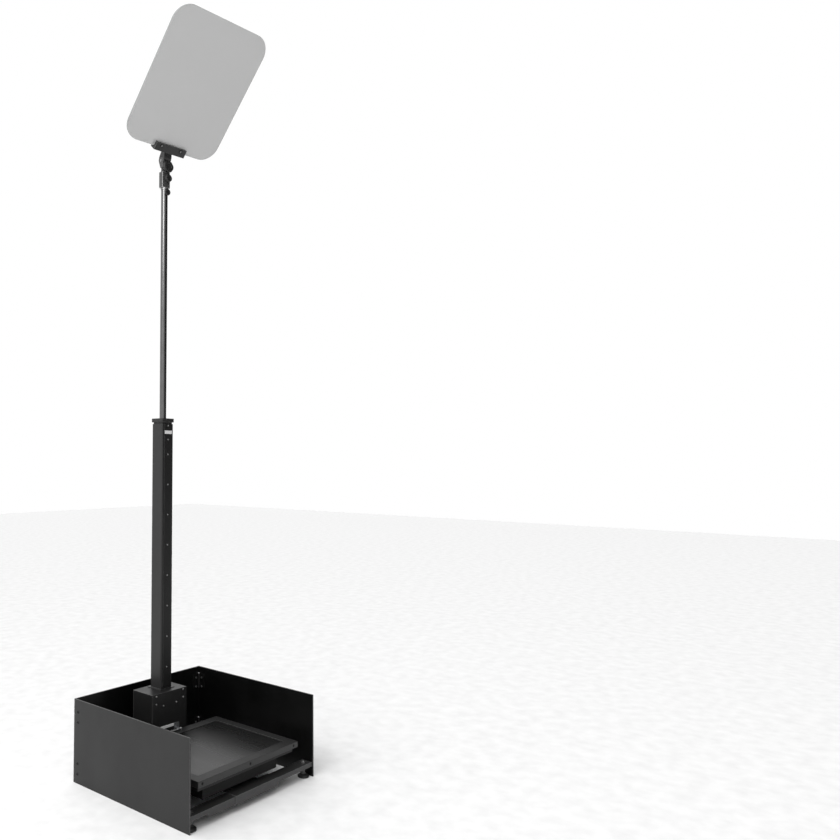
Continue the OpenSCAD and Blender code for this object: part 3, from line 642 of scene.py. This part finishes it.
def add(shape: Shape, name: str, finish: Finish, body: str, replaces: Sequence[str] = (),
        width: float = 0.0, smooth_angle: float = 32.0) -> bpy.types.Object:
    """Turns a shape into a piece of the model.

    Args:
        shape: Its mesh.
        name: The piece's name.
        finish: Its finish.
        body: The CAD body that it rides on.
        replaces: CAD nodes that it stands for.
        width: Width of the edge rounding, in millimetres, or 0 for none.
        smooth_angle: Edges sharper than this angle, in degrees, stay hard.

    Returns:
        The new object.
    """
    piece = shape.object(name)
    piece.data.materials.append(finish.material())
    piece.data.shade_smooth()
    piece.data.set_sharp_from_angle(angle=math.radians(smooth_angle))
    if width:
        soften(piece, width)
    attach(piece, body)
    if replaces:
        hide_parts(*replaces)
    log.info("built %s on %s", name, body)
    return piece


def thread(radius: float, low: float, high: float, pitch: float, depth: float) -> list[Ring]:
    """Returns the rings of a threaded length.

    Args:
        radius: Outer radius.
        low: Height where the thread starts.
        high: Height where it ends.
        pitch: Distance between crests.
        depth: Depth of the grooves.
    """
    rings = []
    for turn in range(int((high - low) / pitch)):
        z = low + turn * pitch
        rings += [(radius - depth, z), (radius, z + pitch * 0.35), (radius, z + pitch * 0.6)]
    return rings


def socket_screw(head: float, height: float, shank: float, length: float) -> list[Ring]:
    """Returns the rings of a button-head screw with a hexagon socket; its head points to -Z.

    Args:
        head: Radius of the head.
        height: Height of the head.
        shank: Radius of the shank.
        length: Length of the shank.
    """
    hole = head * 0.42
    return [(0, -height * 0.35), (hole, -height * 0.35, Outline.HEX), (hole, -height, Outline.HEX),
            (head * 0.62, -height), (head * 0.86, -height * 0.62), (head, -height * 0.12), (head, 0),
            (shank, 0), (shank, length), (0, length)]


# ---- Sub-assemblies ----

@dataclass
class Shroud:
    """Three hinged panels that stand round the base and keep stray light off the monitor.

    Attributes:
        side: Outer face of the side panels, from the middle.
        back: Outer face of the back panel.
        pin: Distance of the hinge pins from the middle, and their depth.
        pin_tops: Heights of the tops of the hinge barrels.
        bolt_in: Distance of the bolts from the outer corner.
        bolt_zs: Heights of the middles of the pairs of bolts.
        pitch: Distance between a leaf's two bolts.
        grip: Thickness of panel and leaf together.
    """

    side: float = 222.25
    back: float = 204.25
    pin: tuple[float, float] = (216.05, 198.05)
    pin_tops: tuple[float, float] = (60.0, 185.5)
    bolt_in: float = 15.6
    bolt_zs: tuple[float, float] = (36.0, 161.5)
    pitch: float = 25.4
    grip: float = 4.5

    def fix(self, label: str, body: str, node: str, places: Sequence[Point], inward: Point) -> None:
        """Builds one panel's bolts and their nuts.

        Args:
            label: Start of the pieces' names.
            body: The body that they ride on.
            node: The CAD node that they stand for.
            places: Where their axes meet the panel's outer face.
            inward: Direction from the heads to the nuts.
        """
        nut = [(0, self.grip), (3.1, self.grip, Outline.HEX), (3.1, self.grip + 1.1, Outline.HEX),
               (2.6, self.grip + 1.4), (1.9, self.grip + 1.4), (1.7, self.grip + 1.6), (0, self.grip + 1.6)]
        bolts, nuts = Shape(), Shape()
        for at in places:
            bolts.turned(socket_screw(4.0, 1.5, 2.0, self.grip), facing(at, inward), 36)
            nuts.turned(nut, facing(at, inward), 36)
        add(bolts, f"{label}_socket_bolts", BLACK_OXIDE, body, [node])
        add(nuts, f"{label}_lock_nuts", SCREW, body)

    def build(self) -> None:
        """Dresses the panels and leaves and builds the bolts."""
        for node in ("left_panel", "right_panel", "back_panel"):
            dress(node, PANEL, 0.5, PANEL_EDGE)
        for node in ("left_hinge_leaves", "right_hinge_leaves", "back_hinge_leaves"):
            dress(node, HINGE, 0.25)
        shape = Shape()
        for x in (-self.pin[0], self.pin[0]):
            for z in self.pin_tops:
                shape.turned([(0, 0), (1.2, 0), (2.6, 0.1), (2.6, 0.9), (1.9, 1.8), (0.8, 2.2), (0, 2.2)],
                             Matrix.Translation((x, self.pin[1], z)), 36)
        add(shape, "hinge_pin_heads", STEEL, "shroud")
        zs = [z + s * self.pitch / 2 for z in self.bolt_zs for s in (-1, 1)]
        y = self.back - self.bolt_in
        for label, side in (("left", -1), ("right", 1)):
            places = [(side * self.side, y, z) for z in zs]
            self.fix(label, f"{label}_side", f"{label}_panel_bolts", places, (-side, 0, 0))
        places = [(side * (self.side - self.bolt_in), self.back, z) for z in zs for side in (-1, 1)]
        self.fix("back", "shroud", "back_panel_bolts", places, (0, -1, 0))


@dataclass
class Base:
    """H-shaped frame on four levelling feet.

    Attributes:
        foot_x: Distance of the feet from the middle.
        foot_ys: Places of the front and rear feet.
        pad: Radius of a foot's pad.
        stud: Radius of its stud.
        stud_top: Height of the stud's top.
    """

    foot_x: float = 202.75
    foot_ys: tuple[float, float] = (-187.75, 182.25)
    pad: float = 14.5
    stud: float = 4.0
    stud_top: float = 40.5

    def foot(self, label: str, node: str, x: float, y: float) -> None:
        """Builds one levelling foot.

        Args:
            label: Short name of its body, after "foot_".
            node: The CAD node that it stands for.
            x: Its place across the width.
            y: Its place along the depth.
        """
        r = self.pad
        place = Matrix.Translation((x, y, 0))
        pad = [(0, 0), (r - 1, 0), (r - 0.3, 0.3), (r, 1), (r, 3.6), (r - 0.5, 4.2), (r - 2.5, 6.2),
               (r - 4.5, 7.6), (self.stud + 3.2, 8.2), (self.stud + 3.0, 8.8), (self.stud, 8.8), (0, 8.8)]
        add(Shape().turned(pad, place), f"foot_{label}_pad", FOOT, f"foot_{label}", [node])
        hexagon = [(0, 8.8), (5.4, 8.8, Outline.HEX), (5.8, 9.2, Outline.HEX), (5.8, 9.7, Outline.HEX),
                   (5.4, 10.0, Outline.HEX), (self.stud - 0.5, 10.0)]
        stud = hexagon + thread(self.stud, 10.2, self.stud_top - 1.4, 1.25, 0.45)
        stud += [(self.stud - 0.6, self.stud_top - 0.8), (self.stud - 1.2, self.stud_top), (0, self.stud_top)]
        add(Shape().turned(stud, place, 36), f"foot_{label}_stud", SCREW, f"foot_{label}")

    def build(self) -> None:
        """Dresses the rails and spine and builds the feet."""
        for node in ("front_rail_left", "front_rail_right", "rear_rail", "rail_joiner"):
            dress(node, RAIL, 0.5, RAIL_EDGE)
        dress("base_spine", SPINE, 0.6, RAIL_EDGE)
        dress("foot_nuts", SCREW, 0.35)
        dress("monitor_posts", RUBBER)
        for rank, y in zip("fr", self.foot_ys):
            for flank, x in (("l", -self.foot_x), ("r", self.foot_x)):
                words = ({"f": "front", "r": "rear"}[rank], {"l": "left", "r": "right"}[flank])
                self.foot(rank + flank, "foot_{}_{}".format(*words), x, y)


@dataclass
class Housing:
    """Steel housing of the lift's motor, belt and screw bearing, with the parts inside it.

    Attributes:
        front: Front face.
        back: Rear face.
        screws: Places of the front plate's screws across the width and up.
        strip: Low and high corner of the white marking strip.
    """

    front: float = 90.75
    back: float = 167.75
    screws: tuple[tuple[float, float], ...] = (
        (-48, 195), (48, 195), (-48, 175), (48, 175), (-23, 167), (23, 167))
    strip: tuple[Point, Point] = ((-33.0, 88.9, 108.7), (12.6, 90.75, 115.5))

    def build(self) -> None:
        """Dresses the housing, builds its screws, marking strip and louvres."""
        dress("housing_shell", SHELL, 0.7, HOUSING_EDGE)
        dress("housing_front_plate", HOUSING, 0.4, HOUSING_EDGE)
        dress("housing_rear_cover", HOUSING, 0.4, HOUSING_EDGE)
        dress("housing_floor", HOUSING, 0.4)
        dress("gear_plate", ZINC, 0.4)
        dress("lift_motor", MOTOR, 0.5)
        dress("motor_pulley", STEEL, 0.2)
        dress("drive_belt", RUBBER)
        dress("lead_screw", STEEL)
        dress("screw_bearing", STEEL, 0.4)
        dress("control_board", BOARD)
        dress("power_inlet", FOOT, 0.5)
        shape = Shape()
        for x, z in self.screws:
            shape.turned(socket_screw(2.7, 1.4, 1.5, 5.0), facing((x, self.front, z), (0, 1, 0)), 36)
        add(shape, "housing_button_screws", SCREW, "base", ["housing_screws"])
        low, high = self.strip
        add(Shape().slab(low, high), "housing_marking_strip", LABEL, "base", width=0.35)
        shape = Shape()
        for row in range(6):
            z = 120 + row * 9
            shape.prism([(-38, z), (18, z), (18, z + 3.2), (-38, z + 3.2)], -self.back - 1.6, -self.back,
                        Matrix.Rotation(math.pi / 2, 4, "X"))
        add(shape, "housing_louvres", HOUSING, "base", width=0.7)


@dataclass
class Column:
    """Square column with the cover strip over its slot, and the cap and bush at its mouth.

    Attributes:
        strip_face: Front face of the cover strip.
        screw_zs: Heights of the strip's screws.
        label: Low and high corner of the blank white label.
    """

    strip_face: float = 114.95
    screw_zs: tuple[float, ...] = (893, 856, 816, 736, 656, 576, 496, 416, 336, 256)
    label: tuple[Point, Point] = ((-3.0, 114.65, 871.0), (23.0, 114.95, 880.0))

    def build(self) -> None:
        """Dresses the column and builds its screws and label."""
        dress("column_tube", COLUMN, 0.5, COLUMN_EDGE)
        dress("column_strip", STRIP, 0.35, COLUMN_EDGE)
        dress("column_cap", KNOB, 0.8)
        dress("guide_bush", BUSH)
        shape = Shape()
        for z in self.screw_zs:
            place = facing((MAST.x, self.strip_face, z), (0, 1, 0))
            shape.turned(socket_screw(2.3, 1.1, 1.2, 4.2), place, 36)
        add(shape, "strip_button_screws", SCREW, "base", ["strip_screws"])
        low, high = self.label
        add(Shape().slab(low, high), "column_blank_label", LABEL, "base")


@dataclass
class Knob:
    """Clamping knob on a threaded stud.

    Attributes:
        name: The piece's name.
        node: The CAD node that it stands for.
        body: The body that it rides on.
        height: Height of its axis.
        face: Depth of the face that it bears on, from the mast's axis.
        radius: Radius of the head.
        head: Length of the head.
        neck: Radius and length of the neck.
        stud: Radius and length of the stud.
        outline: Outline of the grip.
    """

    name: str
    node: str
    body: str
    height: float
    face: float
    radius: float
    head: float
    neck: tuple[float, float]
    stud: tuple[float, float]
    outline: Outline

    def build(self) -> None:
        """Builds the knob."""
        r, (neck_r, neck), (stud_r, stud) = self.radius, self.neck, self.stud
        top = neck + self.head
        grip = self.outline
        rings = [(0, -stud), (stud_r - 0.3, -stud)] + thread(stud_r, -stud + 0.3, -0.4, 0.8, 0.3)
        rings += [(stud_r, 0), (neck_r, 0), (neck_r, neck * 0.7), (neck_r + 0.8, neck),
                  (r * 0.80, neck), (r * 0.94, neck + 0.5, grip), (r, neck + 1.6, grip),
                  (r, top - 1.9, grip), (r * 0.96, top - 0.8, grip), (r * 0.86, top - 0.15, grip),
                  (r * 0.76, top, grip), (r * 0.52, top), (r * 0.47, top - 0.5), (r * 0.45, top - 1.5),
                  (r * 0.2, top - 1.7), (0, top - 1.7)]
        shape = Shape().turned(rings, facing((0, self.face, self.height), (0, -1, 0), IN_HEAD), 120)
        add(shape, self.name, KNOB, self.body, [self.node], smooth_angle=50)


@dataclass
class Mast:
    """Round rod that the lift drives up and down, with its nut below and its spigot on top."""

    rod_knob: Knob = field(default_factory=lambda: Knob(
        "rod_clamp_knob", "rod_knob", "rod_lock", 1530.0, -9.0, 9.0, 6.0,
        (5.0, 2.0), (2.0, 4.0), Outline.FLUTED))

    def build(self) -> None:
        """Dresses the rod and builds its clamping knob."""
        dress("mast_rod", ROD)
        dress("drive_nut", BRONZE, 0.4)
        dress("rod_spigot", SCREW, 0.4)
        self.rod_knob.build()


@dataclass
class Monitor:
    """Face-up monitor, hinged at its rear edge on the housing.

    Attributes:
        middle: Middle of the bezel across the width.
        front: Front face of the bezel.
        rear: Rear face of the bezel.
        screw_xs: Places of the front screws from the middle.
        screw_z: Height of the front screws.
        box_rear: Rear face of the electronics box.
    """

    middle: float = -6.5
    front: float = -194.25
    rear: float = 86.75
    screw_xs: tuple[float, ...] = (-165.0, -3.5, 161.0)
    screw_z: float = 91.0
    box_rear: float = 6.25

    def build(self) -> None:
        """Dresses the monitor and builds its screws and vents."""
        dress("monitor_bezel", BEZEL, 1.0, BEZEL_EDGE)
        dress("screen_panel", SCREEN, 0.3)
        dress("monitor_tray", TRAY, 0.6)
        dress("electronics_box", BLACKENED, 0.5)
        dress("monitor_bracket", ZINC, 0.4)
        dress("monitor_hinge_bar", STEEL, 0.3)
        shape = Shape()
        for x in self.screw_xs:
            for y, inward in ((self.front, 1), (self.rear, -1)):
                place = facing((self.middle + x, y, self.screw_z), (0, inward, 0))
                shape.turned(socket_screw(3.2, 0.4, 1.8, 2.4), place, 36)
        add(shape, "bezel_screws", BLACKENED, "monitor")
        shape = Shape()
        for slot in range(14):
            x = -140 + slot * 9
            shape.slab((x, self.box_rear, 58), (x + 4, self.box_rear + 0.5, 70))
        add(shape, "box_vents", RUBBER, "monitor", width=0.15)


@dataclass
class Head:
    """Swivelling and rolling head between the mast and the glass's arm."""

    swivel_knob: Knob = field(default_factory=lambda: Knob(
        "swivel_clamp_knob", "swivel_knob", "swivel_lock", 1567.3, -8.0, 10.25, 9.0,
        (5.0, 5.0), (3.0, 1.7), Outline.FLUTED))
    roll_knob: Knob = field(default_factory=lambda: Knob(
        "roll_clamp_knob", "roll_knob", "roll_lock", 1599.8, -7.8, 16.0, 9.0,
        (8.0, 4.2), (3.0, 12.8), Outline.LOBED))

    def build(self) -> None:
        """Dresses the head's castings and builds its knobs."""
        dress("receiver_block", BLOCK, 0.9, BLOCK_EDGE)
        dress("head_washer", RUBBER, 0.5)
        dress("head_knuckle", HEAD, 0.5, HEAD_EDGE)
        dress("roll_bracket", BLOCK, 0.5, HEAD_EDGE)
        dress("elbow_pin", SCREW, 0.3)
        self.swivel_knob.build()
        self.roll_knob.build()


@dataclass
class GlassHead:
    """Tilting arm, clamp and beam-splitter glass.

    Attributes:
        elbow: Depth and height of the tilt axis.
        width: Width of the arm.
        tongue: Width of the tongue between the bracket's ears.
        clamp: Thickness of the clamp.
        drop: Reach of the clamp below the glass's lower edge.
        glass: Width, length and thickness of the glass.
        corner: Radius of the glass's corners.
        screw_xs: Places of the clamp screws along it.
    """

    elbow: tuple[float, float] = (-0.5, 1618.4)
    width: float = 25.5
    tongue: float = 14.1
    clamp: float = 20.5
    drop: float = 7.6
    glass: tuple[float, float, float] = (304.8, 355.6, 4.0)
    corner: float = 48.0
    screw_xs: tuple[float, ...] = (-29.0, 35.0)

    def web(self, out: float) -> tuple[float, float]:
        """Returns the depth and height of a point on the clamp's lower face, out from the glass's middle."""
        lean = GLASS_LEAN
        return (LOWER_EDGE.y + self.drop * math.cos(lean) - out * math.sin(lean),
                LOWER_EDGE.z - self.drop * math.sin(lean) - out * math.cos(lean))

    def arm(self) -> None:
        """Builds the swan-necked arm, with the tongue that turns between the bracket's ears."""
        y, z = self.elbow
        front = [(-14.2, 11), (-12.9, 5.5), (-11.2, 1.0)]
        rear = [(10.9, 2.0), (9.6, 8), (6.6, 15), (2.6, 21)]
        front_line = smooth_outline([self.web(self.clamp / 2)] + [(y + a, z + b) for a, b in front])
        rear_line = smooth_outline([(y + a, z + b) for a, b in rear] + [self.web(-self.clamp / 2 + 4)])
        ear = 10.5
        low = math.asin(1.0 / ear)
        saddle = [(y - ear * math.cos(low + t * (math.pi - 2 * low) / 12),
                   z + ear * math.sin(low + t * (math.pi - 2 * low) / 12)) for t in range(13)]
        across = IN_HEAD @ Matrix(((0, 0, 1, 0), (1, 0, 0, 0), (0, 1, 0, 0), (0, 0, 0, 1)))
        shape = Shape()
        for side in (-1, 1):
            edges = sorted((side * self.tongue / 2, side * self.width / 2))
            shape.prism(front_line + saddle + rear_line, edges[0], edges[1], across)
        shape.prism(front_line + [(y, z + 1.0)] + rear_line, -self.tongue / 2, self.tongue / 2, across)
        place = facing((-self.tongue / 2, y, z), (1, 0, 0), IN_HEAD)
        barrel = [(0, 0), (9.0, 0), (9.3, 0.3),
                  (9.3, self.tongue - 0.3), (9.0, self.tongue), (0, self.tongue)]
        shape.turned(barrel, place, 48)
        add(shape, "swan_neck_arm", HEAD, "glass_head", ["tilt_arm"], width=0.35)

    def pane(self) -> None:
        """Builds the glass with its ground and polished edge."""
        wide, long, thick = self.glass
        grind = 0.6
        rows = []
        shape = Shape()
        levels = [(grind, 0.0), (0.0, grind), (0.0, thick - grind), (grind, thick)]
        for inset, z in levels:
            outline = round_corners(wide - 2 * inset, long - 2 * inset, self.corner - inset)
            place = IN_GLASS @ Matrix.Translation((0, long / 2, -thick / 2))
            rows.append([shape.mesh.verts.new(place @ Vector((x, y, z))) for x, y in outline])
        shape.mesh.faces.new(rows[0])
        shape.mesh.faces.new(rows[-1])
        for low, high in zip(rows, rows[1:]):
            for here in range(len(low)):
                after = (here + 1) % len(low)
                rim = shape.mesh.faces.new([low[here], low[after], high[after], high[here]])
                rim.material_index = 1
        piece = add(shape, "half_silvered_pane", GLASS, "glass_head",
                    ["beam_splitter_glass"], smooth_angle=20)
        piece.data.materials.append(GLASS_EDGE.material())

    def build(self) -> None:
        """Dresses the clamp and builds the arm, the screws and the glass."""
        dress("clamp_channel", CLAMP, 0.7, HEAD_EDGE)
        dress("clamp_gaskets", RUBBER, 0.3)
        half = self.clamp / 2
        screw = [(0, 4.7), (2.2, 4.7), (2.5, 5.0), (2.5, half + 0.8), (2.3, half + 1.6), (1.2, half + 1.9),
                 (1.2, half + 1.9, Outline.HEX), (1.2, half + 0.8, Outline.HEX), (0, half + 0.8)]
        cup = [(2.8, half), (4.0, half), (4.0, half + 1.6),
               (3.6, half + 2.2), (3.1, half + 2.2), (2.8, half + 1.4)]
        screws, cups = Shape(), Shape()
        for x in self.screw_xs:
            place = IN_GLASS @ Matrix.Translation((x, 8.0, 0))
            screws.turned(screw, place, 36)
            cups.turned(cup + cup[:1], place, 48)
        add(screws, "clamp_socket_screws", SCREW, "glass_head", ["clamp_screws"])
        add(cups, "clamp_screw_cups", BLACK_OXIDE, "glass_head")
        self.arm()
        self.pane()


# ---- Studio ----

@dataclass
class Studio:
    """Plain pale floor, soft light and the camera.

    Attributes:
        position: The camera's place, in metres.
        yaw: Heading of the view, in degrees from +Y to +X.
        pitch: Upward tilt, in degrees.
        roll: Roll, in degrees.
        lens: Focal length on a 36 mm sensor.
        shift: Lens shift across and up.
        sky: Strength of the surround.
        unlit: Direction of its unlit side.
        shade: How much weaker it is there.
        fade: Cosines to that direction between which the light fades.
        lamp_place: Where the lamps hang, in metres.
        sun: Strength of the far lamp.
        near: Power of the near lamp.
    """

    position: Point = (-1.45106, -1.43503, 0.800)
    yaw: float = 46.541
    pitch: float = 2.837
    roll: float = -0.2202
    lens: float = 34.05
    shift: tuple[float, float] = (0.2462, 0.0015)
    sky: float = 1.0
    unlit: Point = (0.75, -0.65, 0.15)
    shade: float = 0.95
    fade: tuple[float, float] = (0.2, 0.8)
    lamp_place: Point = (-1.3, -0.4, 2.0)
    sun: float = 1.0
    near: float = 8.0

    def camera(self) -> None:
        """Places the camera."""
        data = bpy.data.cameras.new("camera")
        data.lens, data.sensor_width = self.lens, 36.0
        data.shift_x, data.shift_y = self.shift
        data.clip_start, data.clip_end = 0.05, 60.0
        yaw, pitch, roll = (math.radians(a) for a in (self.yaw, self.pitch, self.roll))
        forward = Vector((math.cos(pitch) * math.sin(yaw), math.cos(pitch) * math.cos(yaw), math.sin(pitch)))
        level = Vector((math.cos(yaw), -math.sin(yaw), 0.0))
        upright = level.cross(forward)
        right = math.cos(roll) * level - math.sin(roll) * upright
        up = math.sin(roll) * level + math.cos(roll) * upright
        made = bpy.data.objects.new("camera", data)
        turn = Matrix((right, up, -forward)).transposed().to_4x4()
        made.matrix_world = Matrix.Translation(self.position) @ turn
        bpy.context.scene.collection.objects.link(made)
        bpy.context.scene.camera = made

    @staticmethod
    def floor() -> None:
        """Lays the pale floor."""
        made = Shape().slab((-9000, -9000, -20), (9000, 9000, 0)).object("studio_floor")
        made.data.materials.append(PAPER.material())

    def lamp(self, name: str, kind: str, place: Point, toward: Point, energy: float) -> bpy.types.Light:
        """Hangs one soft lamp.

        Args:
            name: Its name.
            kind: Its type.
            place: Its place, in metres.
            toward: The point that it faces, in metres.
            energy: Its strength.

        Returns:
            The lamp's data.
        """
        data = bpy.data.lights.new(name, kind)
        data.energy = energy
        made = bpy.data.objects.new(name, data)
        made.location = place
        made.rotation_euler = (Vector(toward) - Vector(place)).to_track_quat("-Z", "Y").to_euler()
        bpy.context.scene.collection.objects.link(made)
        return data

    def lamps(self) -> None:
        """Hangs a very soft sun and a nearer lamp, both from high on the left."""
        sun = self.lamp("soft_sun", "SUN", self.lamp_place, (0.0, 0.0, 0.4), self.sun)
        sun.angle = math.radians(70)
        near = self.lamp("near_lamp", "AREA", self.lamp_place, (0.0, 0.1, 0.9), self.near)
        near.size = 0.6

    def surround(self) -> None:
        """Sets a pale surround that gives less light from the right, where the studio is unlit."""
        world = bpy.data.worlds.new("studio")
        bpy.context.scene.world = world
        world.use_nodes = True
        graph = Graph(world.node_tree)
        direction = graph.node("ShaderNodeTexCoord", {}, {}, "Generated")
        turned = graph.node("ShaderNodeVectorMath", {"operation": "DOT_PRODUCT"},
                            {0: direction, 1: Vector(self.unlit).normalized()}, "Value")
        shade = graph.node("ShaderNodeMapRange", {"interpolation_type": "SMOOTHSTEP"},
                           {"Value": turned, "From Min": self.fade[0], "From Max": self.fade[1],
                            "To Max": self.shade})
        seen = graph.node("ShaderNodeLightPath", {}, {}, "Is Camera Ray")
        strength = graph.node("ShaderNodeMath", {"operation": "MAXIMUM"}, {0: seen, 1: self.sky - shade})
        background = graph.node("ShaderNodeBackground", {}, {"Color": grey(1.0), "Strength": strength})
        graph.close("ShaderNodeOutputWorld", background)

    def build(self) -> None:
        """Sets up the floor, the light and the camera."""
        bpy.context.scene.view_settings.view_transform = "Standard"
        self.floor()
        self.surround()
        self.lamps()
        self.camera()


def main() -> None:
    """Builds the studio and every sub-assembly in order."""
    logging.basicConfig(level=logging.INFO, format="%(name)s: %(message)s")
    Studio().build()
    for assembly in (Shroud(), Base(), Housing(), Column(), Mast(), Monitor(), Head(), GlassHead()):
        log.info("building %s", type(assembly).__name__)
        assembly.build()


if __name__ == "__main__":
    main()
